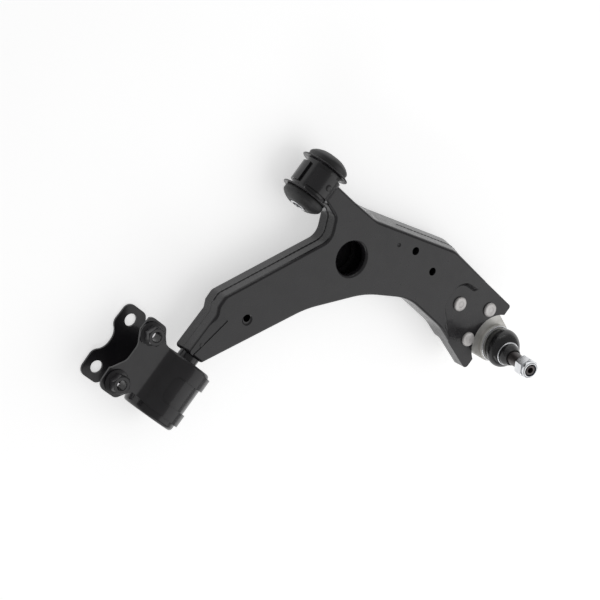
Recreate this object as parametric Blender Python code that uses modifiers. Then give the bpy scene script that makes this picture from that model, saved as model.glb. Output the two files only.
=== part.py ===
"""Front lower control arm of a compact car, right-hand side: a welded box of two pressed shells with a
rubber bush at its front eye, a bush in a two-legged bracket on its rear pin, and a riveted ball joint.

Metres, +Z up along the ball stud's side of the arm, +Y forward along the swing axis from the rear bush to
the front bush, +X outboard to the ball joint. The arm is drawn about the swing axis, then ORIGIN moves the
whole of it so that the world's origin is the bottom centre of its box.
"""

from math import cos, pi, radians, sin, sqrt

import bmesh
import bpy
from mathutils import Matrix, Vector

# ---------------------------------------------------------------- driving dimensions
GAP = 0.0003                     # air between pieces that touch

SHEET = 0.003                    # thickness of both pressed shells
TOP_Z = 0.015                    # upper shell's face
BOTTOM_Z = -0.016                # lower shell's face
SEAM_HALF = 0.00015              # half the gap at the seam between the shells
FORK_TOP_Z = 0.010               # upper shell's face in the fork, past the joggle
FORK_BOTTOM_Z = -0.006           # lower shell's face in the fork
FORK_SPLAY = 0.0095              # how far the lower shell's front edge stands out past the upper's

BIG_HOLE = (0.089, -0.038)       # lightening hole through both shells
BIG_HOLE_R = 0.0188
BIG_HOLE_LIP = 0.0075            # depth of the lip that is drawn into each shell
TOOL_HOLES = ((0.1563, 0.0171), (0.1940, 0.0133))
TOOL_HOLE_R = 0.0047
REAR_HOLE = (0.0220, -0.1590)
REAR_HOLE_R = 0.0042

BALL = Vector((0.345, 0.004, 0.002))
FORK_ARC = (0.3456, 0.0034)
FORK_ARC_R = 0.036
RIVETS = ((0.2610, 0.0090), (0.3055, 0.0285), (0.3035, -0.0150))
RIVET_SHANK_R = 0.0055
RIVET_HEAD_R = 0.0086
RIVET_HEAD_H = 0.0032

EYE_TUBE_R = 0.0205
EYE_BORE_R = 0.0183
EYE_HALF = 0.0186                # half the eye tube's length, over its end flanges
EYE_FLANGE_R = 0.0282
EYE_FLANGE_T = 0.0016
TONGUE_R = 0.0208                # inside of the tongues that wrap the eye tube
TONGUE_T = 0.0027
FRONT_SLEEVE_R = 0.0090
FRONT_SLEEVE_BORE_R = 0.00625
FRONT_SLEEVE_HALF = 0.032

REAR_Y = -0.2610                 # middle between the bracket's bolts
BUSH_Y = -0.2660                 # middle of the rear bush
CAN_R = 0.0300
CAN_WALL = 0.0022
CAN_HALF = 0.0348
PIN_R = 0.0116
PIN_NECK_R = 0.0095
REAR_SLEEVE_R = 0.0130

STRAP_T = 0.0025                 # bracket's sheet
STRAP_IN_R = CAN_R + GAP
STRAP_OUT_R = STRAP_IN_R + STRAP_T
# the strap's front and rear edges over the can, in X and in Y from REAR_Y
STRAP_FRONT = ((0.0500, 0.0255), (-0.0200, 0.0265), (-0.0410, 0.0300))
STRAP_REAR = ((0.0500, -0.0335), (-0.0200, -0.0310), (-0.0410, -0.0290))
LEG_TOP_Z = 0.014                # face of the bracket's upper leg
LEG_BEND_R = 0.0125              # inside of the bend from the strap into the upper leg
LEG_END_X = -0.0805
BOLT_X = -0.0645
BOLT_PITCH = 0.059               # between the bracket's two bolts, along Y
BOLT_HOLE_R = 0.00685
LEG_EAR_END = 0.0440             # half the legs' length along Y, over the ears
WINDOW_MIDDLE_Y = REAR_Y - 0.0035
WINDOW_HALF = 0.0148
WINDOW_TURN = (-20, 124)         # from and to, in degrees round the can from +X

BALL_R = 0.0130
HOUSING_R = 0.0225
HOUSING_TOP_Z = 0.0135
HOUSING_BOTTOM_Z = -0.0190
FLANGE_LOW_Z = FORK_BOTTOM_Z + SHEET + GAP
FLANGE_TOP_Z = FORK_TOP_Z - SHEET - GAP
BOOT_R = 0.0226
BOOT_WALL = 0.0018
STUD_LEAN_BACK = radians(4.0)    # how the stud stands at rest: towards -X
STUD_LEAN_REAR = radians(8.0)    # and towards -Y
NUT_Z = 0.0700                   # nut's seat, up the stud from the ball's centre
NUT_H = 0.0170
NUT_ACROSS_FLATS = 0.0215
THREAD_R = 0.0068

ROUND = 24                       # sides of a large turned piece
SMALL_ROUND = 16

LEG_TIP_X = -0.0798              # ends of the whole arm's box
HOUSING_END_X = 0.3680
FRONT_EDGE_Y = 0.0579
ORIGIN = Vector((
    -(LEG_TIP_X + HOUSING_END_X) / 2,
    -(REAR_Y - LEG_EAR_END + FRONT_EDGE_Y) / 2,
    STRAP_OUT_R,
))

# ---------------------------------------------------------------- scene, materials, collections
for old in list(bpy.data.objects):
    bpy.data.objects.remove(old, do_unlink=True)

scene = bpy.context.scene
arm = bpy.data.collections.new("control_arm")
scene.collection.children.link(arm)
cutters = bpy.data.collections.new("cutters")
scene.collection.children.link(cutters)


def material(name, colour, roughness, metallic):
    made = bpy.data.materials.new(name)
    made.use_nodes = True
    shader = made.node_tree.nodes["Principled BSDF"]
    shader.inputs["Base Color"].default_value = (*colour, 1)
    shader.inputs["Roughness"].default_value = roughness
    shader.inputs["Metallic"].default_value = metallic
    return made


BLACK_PAINT = material("black_paint", (0.018, 0.018, 0.019), 0.30, 0.0)
BRACKET_PAINT = material("bracket_paint", (0.022, 0.022, 0.024), 0.45, 0.0)
PALE_FORGING = material("pale_forging", (0.70, 0.70, 0.67), 0.42, 0.9)
RIVET_STEEL = material("rivet_steel", (0.72, 0.71, 0.71), 0.35, 0.9)
ZINC = material("zinc", (0.80, 0.81, 0.83), 0.22, 1.0)
DARK_STEEL = material("dark_steel", (0.12, 0.12, 0.12), 0.40, 0.8)
RUBBER = material("rubber", (0.020, 0.020, 0.021), 0.60, 0.0)
NYLON = material("nylon", (0.03, 0.09, 0.16), 0.40, 0.0)
SEAT_PLASTIC = material("seat_plastic", (0.75, 0.73, 0.66), 0.45, 0.0)


# ---------------------------------------------------------------- shaping tools
def place(obj, paint, collection=arm):
    for home in list(obj.users_collection):
        home.objects.unlink(obj)
    collection.objects.link(obj)
    obj.data.materials.clear()
    obj.data.materials.append(paint)
    if collection is cutters:
        obj.hide_render = True
        obj.display_type = "WIRE"
    return obj


def from_bmesh(name, bm, paint, collection=arm):
    bmesh.ops.remove_doubles(bm, verts=bm.verts, dist=1e-7)
    bmesh.ops.recalc_face_normals(bm, faces=bm.faces)
    mesh = bpy.data.meshes.new(name)
    bm.to_mesh(mesh)
    bm.free()
    obj = bpy.data.objects.new(name, mesh)
    return place(obj, paint, collection)


def turned(name, profile, paint, where=(0, 0, 0), along="Z", steps=ROUND, collection=arm):
    """A turned piece: profile is (radius, height) points round the section, closed unless it ends on the
    axis. The screw turns it about Z, and `along` lays that axis along Y."""
    closed = profile[0][0] > 0 or profile[-1][0] > 0
    area = sum(a[0] * b[1] - b[0] * a[1] for a, b in zip(profile, profile[1:] + profile[:1]))
    points = profile if area < 0 else profile[::-1]
    bm = bmesh.new()
    verts = [bm.verts.new((r, 0, z)) for r, z in points]
    for first, second in zip(verts, verts[1:]):
        bm.edges.new((first, second))
    if closed:
        bm.edges.new((verts[-1], verts[0]))
    mesh = bpy.data.meshes.new(name)
    bm.to_mesh(mesh)
    bm.free()
    obj = place(bpy.data.objects.new(name, mesh), paint, collection)
    screw = obj.modifiers.new("turn", "SCREW")
    screw.steps = steps
    screw.render_steps = steps
    screw.use_merge_vertices = True
    screw.merge_threshold = 0.00001
    obj.location = where
    if along == "Y":
        obj.rotation_euler = (-pi / 2, 0, 0)
    return obj


def meshed(obj):
    """The object with its modifiers applied, at the same place."""
    bpy.context.view_layer.update()
    graph = bpy.context.evaluated_depsgraph_get()
    mesh = bpy.data.meshes.new_from_object(obj.evaluated_get(graph))
    bm = bmesh.new()
    bm.from_mesh(mesh)
    bm.transform(obj.matrix_world)
    bmesh.ops.remove_doubles(bm, verts=bm.verts, dist=1e-7)
    bmesh.ops.recalc_face_normals(bm, faces=bm.faces)
    bm.to_mesh(mesh)
    bm.free()
    name, paint, home = obj.name, obj.data.materials[0], obj.users_collection[0]
    bpy.data.objects.remove(obj, do_unlink=True)
    fixed = bpy.data.objects.new(name, mesh)
    return place(fixed, paint, home)


def combine(obj, other, operation):
    """A Boolean on obj; the other piece becomes a hidden cutter."""
    place(other, other.data.materials[0], cutters)
    boolean = obj.modifiers.new(operation.lower(), "BOOLEAN")
    boolean.operation = operation
    boolean.solver = "EXACT"
    boolean.object = other
    return obj


def corner_points(corners, steps=4):
    """A closed outline from (x, y, radius) corners, each rounded by an arc of `steps` chords."""
    points = []
    for i, (x, y, radius) in enumerate(corners):
        here = Vector((x, y))
        back = Vector(corners[i - 1][:2]) - here
        ahead = Vector(corners[(i + 1) % len(corners)][:2]) - here
        if radius == 0:
            points.append(here)
            continue
        half = back.angle(ahead) / 2
        middle = here + (back.normalized() + ahead.normalized()).normalized() * (radius / sin(half))
        start = here + back.normalized() * (radius / (sin(half) / cos(half))) - middle
        sweep = pi - 2 * half
        if back.x * ahead.y - back.y * ahead.x > 0:
            sweep = -sweep
        for k in range(steps + 1):
            turn = Matrix.Rotation(sweep * k / steps, 2)
            points.append(middle + turn @ start)
    return points


def inset(corners, distance):
    """The same corners moved in by distance, square to the edges; a corner's own distance can follow its
    radius, for an end that is left open."""
    moved = []
    count = len(corners)
    area = sum(
        corners[i][0] * corners[(i + 1) % count][1] - corners[(i + 1) % count][0] * corners[i][1]
        for i in range(count)
    )
    side = 1 if area > 0 else -1
    for i, (x, y, radius) in enumerate(corners):
        here = Vector((x, y))
        into = (here - Vector(corners[i - 1][:2])).normalized()
        out = (Vector(corners[(i + 1) % count][:2]) - here).normalized()
        normal_in = Vector((-into.y, into.x)) * side
        normal_out = Vector((-out.y, out.x)) * side
        bend = normal_in + normal_out
        shift = bend * (distance / (1 + normal_in.dot(normal_out)))
        convex = (into.x * out.y - into.y * out.x) * side > 0
        new_radius = radius
        if radius > 0:
            new_radius = max(radius - distance, 0.0005) if convex else radius + distance
        moved.append((x + shift.x, y + shift.y, new_radius))
    return moved


def prism(name, low_points, low_z, high_points, high_z, paint=BLACK_PAINT, collection=arm):
    """A loft between two outlines of the same number of points, one above the other."""
    bm = bmesh.new()
    low = [bm.verts.new((p[0], p[1], low_z)) for p in low_points]
    high = [bm.verts.new((p[0], p[1], high_z)) for p in high_points]
    bm.faces.new(low)
    bm.faces.new(high)
    count = len(low)
    for i in range(count):
        j = (i + 1) % count
        bm.faces.new((low[i], low[j], high[j], high[i]))
    bm.normal_update()
    bmesh.ops.triangulate(bm, faces=bm.faces)
    return from_bmesh(name, bm, paint, collection)


def slab(name, corners, low_z, high_z, paint=BLACK_PAINT, collection=cutters, steps=4):
    points = corner_points(corners, steps)
    return prism(name, points, low_z, points, high_z, paint, collection)


def drill(name, x, y, radius, low_z, high_z, steps=SMALL_ROUND):
    profile = [(0, high_z), (radius, high_z), (radius, low_z), (0, low_z)]
    return turned(name, profile, BLACK_PAINT, (x, y, 0), steps=steps, collection=cutters)


# ---------------------------------------------------------------- the two pressed shells
def arm_corners(splay):
    """The arm's outline seen from above, anticlockwise from its rear end. splay moves the front edge out."""
    return [
        (-0.0130, -0.2250, 0.004),
        (0.0085, -0.2250, 0.003),
        (0.0793, -0.1117, 0.120),
        (0.1344, -0.0566, 0.130),
        (0.1891, -0.0275, 0.080),
        (0.2540, -0.0275, 0.080),
        (0.3290, -0.0440, 0.005),
        (0.3310, 0.0495, 0.003),
        (0.2600, 0.0490 + 0.2 * splay, 0.040),
        (0.2070, 0.0490 + splay, 0.025),
        (0.0880, 0.0115 + splay, 0.040),
        (0.0500, 0.0105, 0.010),
        (0.0140, 0.0105, 0),
        (0.0140, -0.0100, 0),
        (0.0390, -0.0160, 0.008),
        (0.0510, -0.0380, 0.018),
        (-0.0170, -0.1560, 0.010),
        (-0.0165, -0.1680, 0.004),
        (-0.0120, -0.1760, 0.004),
    ]


JOGGLE_EDGE = [
    (0.4000, 0.0800, 0),
    (0.2760, 0.0800, 0),
    (0.2700, 0.0330, 0.006),
    (0.2410, 0.0300, 0.016),
    (0.2400, -0.0040, 0.016),
    (0.2780, -0.0300, 0.010),
    (0.2900, -0.0800, 0),
    (0.4000, -0.0800, 0),
]


FORK_HOLLOW = [
    (0.2290, -0.0240, 0),
    (0.2545, -0.0240, 0),
    (0.3290, -0.0403, 0),
    (0.4000, -0.0403, 0),
    (0.4000, 0.0460, 0),
    (0.2290, 0.0460, 0),
]


def tongue(name, first, last):
    """The strip at a shell's end that wraps the eye tube, between two angles seen from the rear."""
    bm = bmesh.new()
    steps = 10
    inner = TONGUE_R - 0.001
    outer = TONGUE_R + TONGUE_T
    rim = []
    for radius, order in ((inner, range(steps + 1)), (outer, range(steps, -1, -1))):
        for k in order:
            angle = radians(first + (last - first) * k / steps)
            rim.append(bm.verts.new((radius * cos(angle), -0.0115, radius * sin(angle))))
    face = bm.faces.new(rim)
    moved = bmesh.ops.extrude_face_region(bm, geom=[face])["geom"]
    bmesh.ops.translate(bm, verts=[v for v in moved if isinstance(v, bmesh.types.BMVert)], vec=(0, 0.023, 0))
    return from_bmesh(name, bm, BLACK_PAINT)


def shell(name, upper):
    """A pressed shell: a tray with the fork's joggle, drawn lips, holes, a tongue over the eye tube, and
    room for the eye tube, the rear pin and the ball joint's arc."""
    face_z, fork_z = (TOP_Z, FORK_TOP_Z) if upper else (BOTTOM_Z, FORK_BOTTOM_Z)
    out = 1 if upper else -1
    seam_z = out * SEAM_HALF
    face_corners = arm_corners(0 if upper else FORK_SPLAY)
    seam_corners = arm_corners(FORK_SPLAY / 2)
    body = prism(name, corner_points(seam_corners), seam_z, corner_points(face_corners), face_z)

    far = out * 0.040
    joggle = slab(name + "_joggle", JOGGLE_EDGE, min(fork_z, far), max(fork_z, far))
    combine(body, joggle, "DIFFERENCE")

    past_seam = -out * 0.002
    floor_z = face_z - out * SHEET
    main_seam = corner_points(inset(seam_corners, SHEET))
    main_face = corner_points(inset(face_corners, SHEET))
    hollow = prism(name + "_hollow", main_seam, past_seam, main_face, floor_z, collection=cutters)
    wall = slab(name + "_joggle_wall", inset(JOGGLE_EDGE, -SHEET), -0.03, 0.03)
    combine(hollow, wall, "DIFFERENCE")

    inner_z = fork_z - out * SHEET
    fork_hollow = slab(name + "_fork_hollow", FORK_HOLLOW, min(past_seam, inner_z), max(past_seam, inner_z))
    combine(hollow, fork_hollow, "UNION")
    combine(body, meshed(hollow), "DIFFERENCE")

    lip_end = face_z - out * BIG_HOLE_LIP
    lip_out_r = BIG_HOLE_R + SHEET
    lip = turned(
        name + "_lip",
        [(0, face_z - out * 0.0005), (lip_out_r, face_z - out * 0.0005), (lip_out_r, lip_end), (0, lip_end)],
        BLACK_PAINT, (*BIG_HOLE, 0), steps=26,
    )
    combine(body, meshed(lip), "UNION")
    wrap = tongue(name + "_tongue", 31, 142) if upper else tongue(name + "_tongue", -190, -33)
    combine(body, wrap, "UNION")

    low, high = (-0.001, 0.030) if upper else (-0.030, 0.001)
    beyond = face_z + out * 0.001
    throat = turned(
        name + "_big_hole",
        [(0, seam_z - out * 0.001), (BIG_HOLE_R, seam_z - out * 0.001), (BIG_HOLE_R, face_z - out * 0.0042),
         (BIG_HOLE_R + 0.0013, face_z - out * 0.0012), (BIG_HOLE_R + 0.0038, beyond), (0, beyond)],
        BLACK_PAINT, (*BIG_HOLE, 0), collection=cutters,
    )
    combine(body, meshed(throat), "DIFFERENCE")
    holes = [(*at, TOOL_HOLE_R) for at in TOOL_HOLES]
    holes += [(*REAR_HOLE, REAR_HOLE_R)]
    holes += [(*at, RIVET_SHANK_R + GAP) for at in RIVETS]
    for number, (x, y, radius) in enumerate(holes, 1):
        hole = drill(f"{name}_hole_{number}", x, y, radius, low, high, 16)
        combine(body, meshed(hole), "DIFFERENCE")
    arc = drill(name + "_fork_arc", *FORK_ARC, FORK_ARC_R, low, high, 40)
    combine(body, meshed(arc), "DIFFERENCE")

    eye = turned(
        name + "_eye_room", [(0, -0.03), (TONGUE_R, -0.03), (TONGUE_R, 0.03), (0, 0.03)],
        BLACK_PAINT, along="Y", collection=cutters,
    )
    combine(body, meshed(eye), "DIFFERENCE")
    pin_room = turned(
        name + "_pin_room", [(0, -0.24), (PIN_R + GAP, -0.24), (PIN_R + GAP, -0.17), (0, -0.17)],
        BLACK_PAINT, along="Y", steps=SMALL_ROUND, collection=cutters,
    )
    combine(body, meshed(pin_room), "DIFFERENCE")
    return body


shell("upper_shell", True)
shell("lower_shell", False)

# ---------------------------------------------------------------- front eye and its bush
FLARE_Y = EYE_HALF - EYE_FLANGE_T
turned(
    "front_eye_tube",
    [(EYE_BORE_R, -EYE_HALF + 0.001), (EYE_BORE_R + 0.001, -EYE_HALF), (EYE_FLANGE_R - 0.0005, -EYE_HALF),
     (EYE_FLANGE_R, -EYE_HALF + 0.0008), (EYE_FLANGE_R - 0.0005, -FLARE_Y), (EYE_TUBE_R + 0.003, -FLARE_Y),
     (EYE_TUBE_R + 0.0008, -FLARE_Y + 0.0008), (EYE_TUBE_R, -FLARE_Y + 0.003),
     (EYE_TUBE_R, FLARE_Y - 0.003), (EYE_TUBE_R + 0.0008, FLARE_Y - 0.0008), (EYE_TUBE_R + 0.003, FLARE_Y),
     (EYE_FLANGE_R - 0.0005, FLARE_Y), (EYE_FLANGE_R, EYE_HALF - 0.0008), (EYE_FLANGE_R - 0.0005, EYE_HALF),
     (EYE_BORE_R + 0.001, EYE_HALF), (EYE_BORE_R, EYE_HALF - 0.001)],
    BLACK_PAINT, along="Y",
)
OUTER_SLEEVE_IN_R = EYE_BORE_R - GAP - 0.0014
turned(
    "front_bush_outer_sleeve",
    [(OUTER_SLEEVE_IN_R, -0.0165), (EYE_BORE_R - GAP, -0.0165), (EYE_BORE_R - GAP, 0.0165),
     (OUTER_SLEEVE_IN_R, 0.0165)],
    DARK_STEEL, along="Y",
)
RUBBER_FLARE_Y = EYE_HALF + GAP
turned(
    "front_bush_rubber",
    [(FRONT_SLEEVE_R + GAP, -0.0305), (0.0130, -0.0312), (0.0165, -0.0300), (0.0222, -0.0262),
     (0.0236, -0.0238), (0.0236, -0.0205), (0.0230, -RUBBER_FLARE_Y), (0.0160, -RUBBER_FLARE_Y),
     (OUTER_SLEEVE_IN_R - GAP, -0.0168), (OUTER_SLEEVE_IN_R - GAP, 0.0168), (0.0160, RUBBER_FLARE_Y),
     (0.0230, RUBBER_FLARE_Y), (0.0236, 0.0205), (0.0236, 0.0238), (0.0222, 0.0262), (0.0165, 0.0300),
     (0.0130, 0.0312), (FRONT_SLEEVE_R + GAP, 0.0305)],
    RUBBER, along="Y",
)
turned(
    "front_bush_inner_sleeve",
    [(FRONT_SLEEVE_BORE_R, -FRONT_SLEEVE_HALF + 0.0008), (FRONT_SLEEVE_BORE_R + 0.0008, -FRONT_SLEEVE_HALF),
     (FRONT_SLEEVE_R - 0.0005, -FRONT_SLEEVE_HALF), (FRONT_SLEEVE_R, -FRONT_SLEEVE_HALF + 0.0005),
     (FRONT_SLEEVE_R, FRONT_SLEEVE_HALF - 0.0005), (FRONT_SLEEVE_R - 0.0005, FRONT_SLEEVE_HALF),
     (FRONT_SLEEVE_BORE_R + 0.0008, FRONT_SLEEVE_HALF), (FRONT_SLEEVE_BORE_R, FRONT_SLEEVE_HALF - 0.0008)],
    ZINC, along="Y",
)

# ---------------------------------------------------------------- rear pin and its bush
PIN_FRONT_Y = -0.1860
PIN_END_Y = BUSH_Y - 0.0330
PIN_SHOULDER_Y = BUSH_Y + 0.0325
turned(
    "rear_pin",
    [(0, PIN_END_Y), (PIN_NECK_R - 0.0015, PIN_END_Y), (PIN_NECK_R, PIN_END_Y + 0.0015),
     (PIN_NECK_R, PIN_SHOULDER_Y), (PIN_R, PIN_SHOULDER_Y), (PIN_R, PIN_FRONT_Y - 0.0015),
     (PIN_R - 0.0015, PIN_FRONT_Y), (0, PIN_FRONT_Y)],
    BLACK_PAINT, along="Y", steps=SMALL_ROUND,
)
REAR_SLEEVE_HALF = 0.0320
turned(
    "rear_bush_inner_sleeve",
    [(PIN_NECK_R + GAP, -REAR_SLEEVE_HALF), (REAR_SLEEVE_R, -REAR_SLEEVE_HALF),
     (REAR_SLEEVE_R, REAR_SLEEVE_HALF), (PIN_NECK_R + GAP, REAR_SLEEVE_HALF)],
    ZINC, (0, BUSH_Y, 0), along="Y",
)
CAN_IN_R = CAN_R - CAN_WALL
CAN_LIP_R = CAN_IN_R - 0.0028     # where its ends are rolled in
rear_rubber = turned(
    "rear_bush_rubber",
    [(REAR_SLEEVE_R + GAP, -0.0300), (0.0160, -0.0300), (0.0195, -0.0272), (CAN_IN_R - GAP, -0.0295),
     (CAN_IN_R - GAP, 0.0295), (0.0195, 0.0272), (0.0160, 0.0300), (REAR_SLEEVE_R + GAP, 0.0300)],
    RUBBER, (0, BUSH_Y, 0), along="Y",
)
rear_rubber = meshed(rear_rubber)


def kidney(name, middle_degrees):
    """A curved slot along the bush, between two radii, that lets the rubber give sideways."""
    bm = bmesh.new()
    steps = 10
    rim = []
    for radius, order in ((0.0178, range(steps + 1)), (0.0232, range(steps, -1, -1))):
        for k in order:
            angle = radians(middle_degrees - 38 + 76 * k / steps)
            rim.append(bm.verts.new((radius * cos(angle), BUSH_Y - 0.035, radius * sin(angle))))
    face = bm.faces.new(rim)
    moved = bmesh.ops.extrude_face_region(bm, geom=[face])["geom"]
    bmesh.ops.translate(bm, verts=[v for v in moved if isinstance(v, bmesh.types.BMVert)], vec=(0, 0.07, 0))
    return from_bmesh(name, bm, RUBBER, cutters)


for side, middle in (("outer", 0), ("inner", 180)):
    combine(rear_rubber, kidney("rear_rubber_kidney_" + side, middle), "DIFFERENCE")

turned(
    "rear_bush_can",
    [(CAN_IN_R, -CAN_HALF + 0.0036), (CAN_LIP_R, -CAN_HALF + 0.0020), (CAN_LIP_R, -CAN_HALF),
     (CAN_R - 0.0036, -CAN_HALF), (CAN_R - 0.0011, -CAN_HALF + 0.0011), (CAN_R, -CAN_HALF + 0.0036),
     (CAN_R, CAN_HALF - 0.0036), (CAN_R - 0.0011, CAN_HALF - 0.0011), (CAN_R - 0.0036, CAN_HALF),
     (CAN_LIP_R, CAN_HALF), (CAN_LIP_R, CAN_HALF - 0.0020), (CAN_IN_R, CAN_HALF - 0.0036)],
    BRACKET_PAINT, (0, BUSH_Y, 0), along="Y",
)

# ---------------------------------------------------------------- rear bracket, one bent strip
LEG_MIDDLE_Z = LEG_TOP_Z - STRAP_T / 2
STRAP_MIDDLE_R = (STRAP_IN_R + STRAP_OUT_R) / 2
BEND_MIDDLE_R = LEG_BEND_R + STRAP_T / 2
BEND_Z = LEG_MIDDLE_Z + BEND_MIDDLE_R
BEND_X = -sqrt((STRAP_MIDDLE_R + BEND_MIDDLE_R) ** 2 - BEND_Z ** 2)


def strip_path():
    """Middle line of the bracket's sheet in the XZ plane: upper leg, bend, round the can, lower leg."""
    path = [Vector((LEG_END_X, LEG_MIDDLE_Z))]
    toward_can = Vector((-BEND_X, -BEND_Z)).angle_signed(Vector((1, 0)))
    bend_steps = 4
    for k in range(bend_steps + 1):
        angle = -pi / 2 + (toward_can + pi / 2) * k / bend_steps
        path.append(Vector((BEND_X + BEND_MIDDLE_R * cos(angle), BEND_Z + BEND_MIDDLE_R * sin(angle))))
    start = toward_can + pi
    end = -pi / 2
    wrap_steps = 24
    for k in range(1, wrap_steps + 1):
        angle = start + (end - start) * k / wrap_steps
        path.append(Vector((STRAP_MIDDLE_R * cos(angle), STRAP_MIDDLE_R * sin(angle))))
    path.append(Vector((LEG_END_X, -STRAP_MIDDLE_R)))
    return path


def strip_section(path):
    """Both sides of the sheet, half its thickness either side of the path."""
    left, right = [], []
    for i, here in enumerate(path):
        before = path[max(i - 1, 0)]
        after = path[min(i + 1, len(path) - 1)]
        run = (after - before).normalized()
        normal = Vector((-run.y, run.x)) * (STRAP_T / 2)
        left.append(here + normal)
        right.append(here - normal)
    return left + right[::-1]


def bracket_blank():
    bm = bmesh.new()
    rim = [bm.verts.new((p.x, REAR_Y - LEG_EAR_END, p.y)) for p in strip_section(strip_path())]
    face = bm.faces.new(rim)
    moved = bmesh.ops.extrude_face_region(bm, geom=[face])["geom"]
    verts = [v for v in moved if isinstance(v, bmesh.types.BMVert)]
    bmesh.ops.translate(bm, verts=verts, vec=(0, 2 * LEG_EAR_END, 0))
    bm.normal_update()
    bmesh.ops.triangulate(bm, faces=[f for f in bm.faces if len(f.verts) > 4])
    return from_bmesh("rear_bracket", bm, BRACKET_PAINT)


EAR_IN_X = -0.0475
half_plan = [
    (EAR_IN_X, 0.0360, 0.006),
    (EAR_IN_X - 0.0060, LEG_EAR_END, 0.008),
    (LEG_END_X + 0.0015, LEG_EAR_END, 0.009),
    (LEG_END_X + 0.0005, 0.0170, 0.010),
    (-0.0695, 0.0100, 0.016),
]
plan = [(x, REAR_Y + y, 0.004 if x < -0.04 else 0) for x, y in STRAP_FRONT]
plan += [(x, REAR_Y + y, r) for x, y, r in half_plan]
plan += [(x, REAR_Y - y, r) for x, y, r in reversed(half_plan)]
plan += [(x, REAR_Y + y, 0.004 if x < -0.04 else 0) for x, y in reversed(STRAP_REAR)]
bracket = bracket_blank()
combine(bracket, slab("bracket_plan", plan, -0.06, 0.06), "INTERSECT")
BOLT_YS = {"front": REAR_Y + BOLT_PITCH / 2, "rear": REAR_Y - BOLT_PITCH / 2}
for where, bolt_y in BOLT_YS.items():
    hole = drill("bolt_hole_" + where, BOLT_X, bolt_y, BOLT_HOLE_R, -0.06, 0.06)
    combine(bracket, meshed(hole), "DIFFERENCE")


def strap_window():
    """Cutter for the eight-sided opening in the strap, wrapped round the can."""
    clip = 0.0048
    first, last = WINDOW_TURN
    corner = 7
    start, end = first + corner, last - corner
    turns = [first] + [start + (end - start) * k / 10 for k in range(11)] + [last]
    low, high = CAN_R - 0.002, CAN_R + 0.008
    bm = bmesh.new()
    rings = []
    for turn in turns:
        half = WINDOW_HALF - (clip if turn in WINDOW_TURN else 0)
        angle = radians(turn)
        rings.append([
            bm.verts.new((radius * cos(angle), WINDOW_MIDDLE_Y + y, radius * sin(angle)))
            for radius, y in ((low, -half), (low, half), (high, half), (high, -half))
        ])
    for here, there in zip(rings, rings[1:]):
        for i in range(4):
            j = (i + 1) % 4
            bm.faces.new((here[i], here[j], there[j], there[i]))
    bm.faces.new(rings[0][::-1])
    bm.faces.new(rings[-1])
    bmesh.ops.recalc_face_normals(bm, faces=bm.faces)
    bmesh.ops.triangulate(bm, faces=bm.faces)
    return from_bmesh("strap_window", bm, BRACKET_PAINT, cutters)


UPPER_WAIST = [
    (-0.1000, 0.0500, 0),
    (-0.0765, 0.0500, 0),
    (-0.0775, 0.0270, 0.004),
    (-0.0680, 0.0125, 0.012),
    (-0.0680, -0.0060, 0.012),
    (-0.0795, -0.0225, 0.008),
    (-0.1000, -0.0260, 0),
]
combine(bracket, strap_window(), "DIFFERENCE")
waist = slab("upper_waist", [(x, REAR_Y + y, r) for x, y, r in UPPER_WAIST[::-1]], 0.0, 0.04)
combine(bracket, waist, "DIFFERENCE")


def hexagon(across_flats, first_corner):
    radius = across_flats / sqrt(3)
    angles = [radians(first_corner + 60 * k) for k in range(6)]
    return [(radius * cos(angle), radius * sin(angle)) for angle in angles]


def chamfered_hex(name, across_flats, low_z, high_z, bore_r, flange_r, flange_t, paint):
    """A hexagon nut standing on a round flange, its top corners turned off, with its bore."""
    corners = hexagon(across_flats, 11)
    foot_z = low_z + flange_t * 0.3
    nut = prism(name, corners, foot_z, corners, high_z, paint)
    corner_r = across_flats / sqrt(3)
    turn = turned(
        name + "_turn",
        [(0, low_z - 0.001), (corner_r + 0.001, low_z - 0.001), (corner_r + 0.001, high_z - 0.0022),
         (across_flats / 2 * 0.96, high_z + 0.0002), (0, high_z + 0.0002)],
        paint, collection=cutters, steps=ROUND,
    )
    combine(nut, meshed(turn), "INTERSECT")
    if flange_r:
        flange = turned(
            name + "_flange",
            [(0, low_z), (flange_r, low_z), (flange_r, low_z + flange_t * 0.5),
             (across_flats * 0.5, low_z + flange_t),
             (0, low_z + flange_t)],
            paint, steps=ROUND,
        )
        combine(nut, meshed(flange), "UNION")
    bore = drill(name + "_bore", 0, 0, bore_r, low_z - 0.01, high_z + 0.01)
    combine(nut, meshed(bore), "DIFFERENCE")
    return nut


WELD_NUT_FLATS = 0.0180
WELD_NUT_H = 0.0130
WELD_NUT_BORE_R = 0.0051
for where, bolt_y in BOLT_YS.items():
    nut = chamfered_hex(
        "bracket_nut_" + where, WELD_NUT_FLATS, LEG_TOP_Z + GAP, LEG_TOP_Z + GAP + WELD_NUT_H,
        WELD_NUT_BORE_R, 0.0128, 0.0030, BRACKET_PAINT,
    )
    fixed = meshed(nut)
    fixed.location = (BOLT_X, bolt_y, 0)

# ---------------------------------------------------------------- ball joint, fixed pieces
BX, BY = BALL.x, BALL.y


def flange_outline():
    """The housing's flange: round lobes at the rivets, drawn tight round the round body."""
    return [
        (0.2480, -0.0005, 0.011), (0.2480, 0.0185, 0.011), (0.2950, 0.0405, 0.011), (0.3200, 0.0360, 0.015),
        (0.3560, 0.0270, 0.018), (0.3680, 0.0120, 0.016), (0.3680, -0.0060, 0.016), (0.3560, -0.0180, 0.018),
        (0.3200, -0.0235, 0.015), (0.2930, -0.0270, 0.011),
    ]


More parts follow.
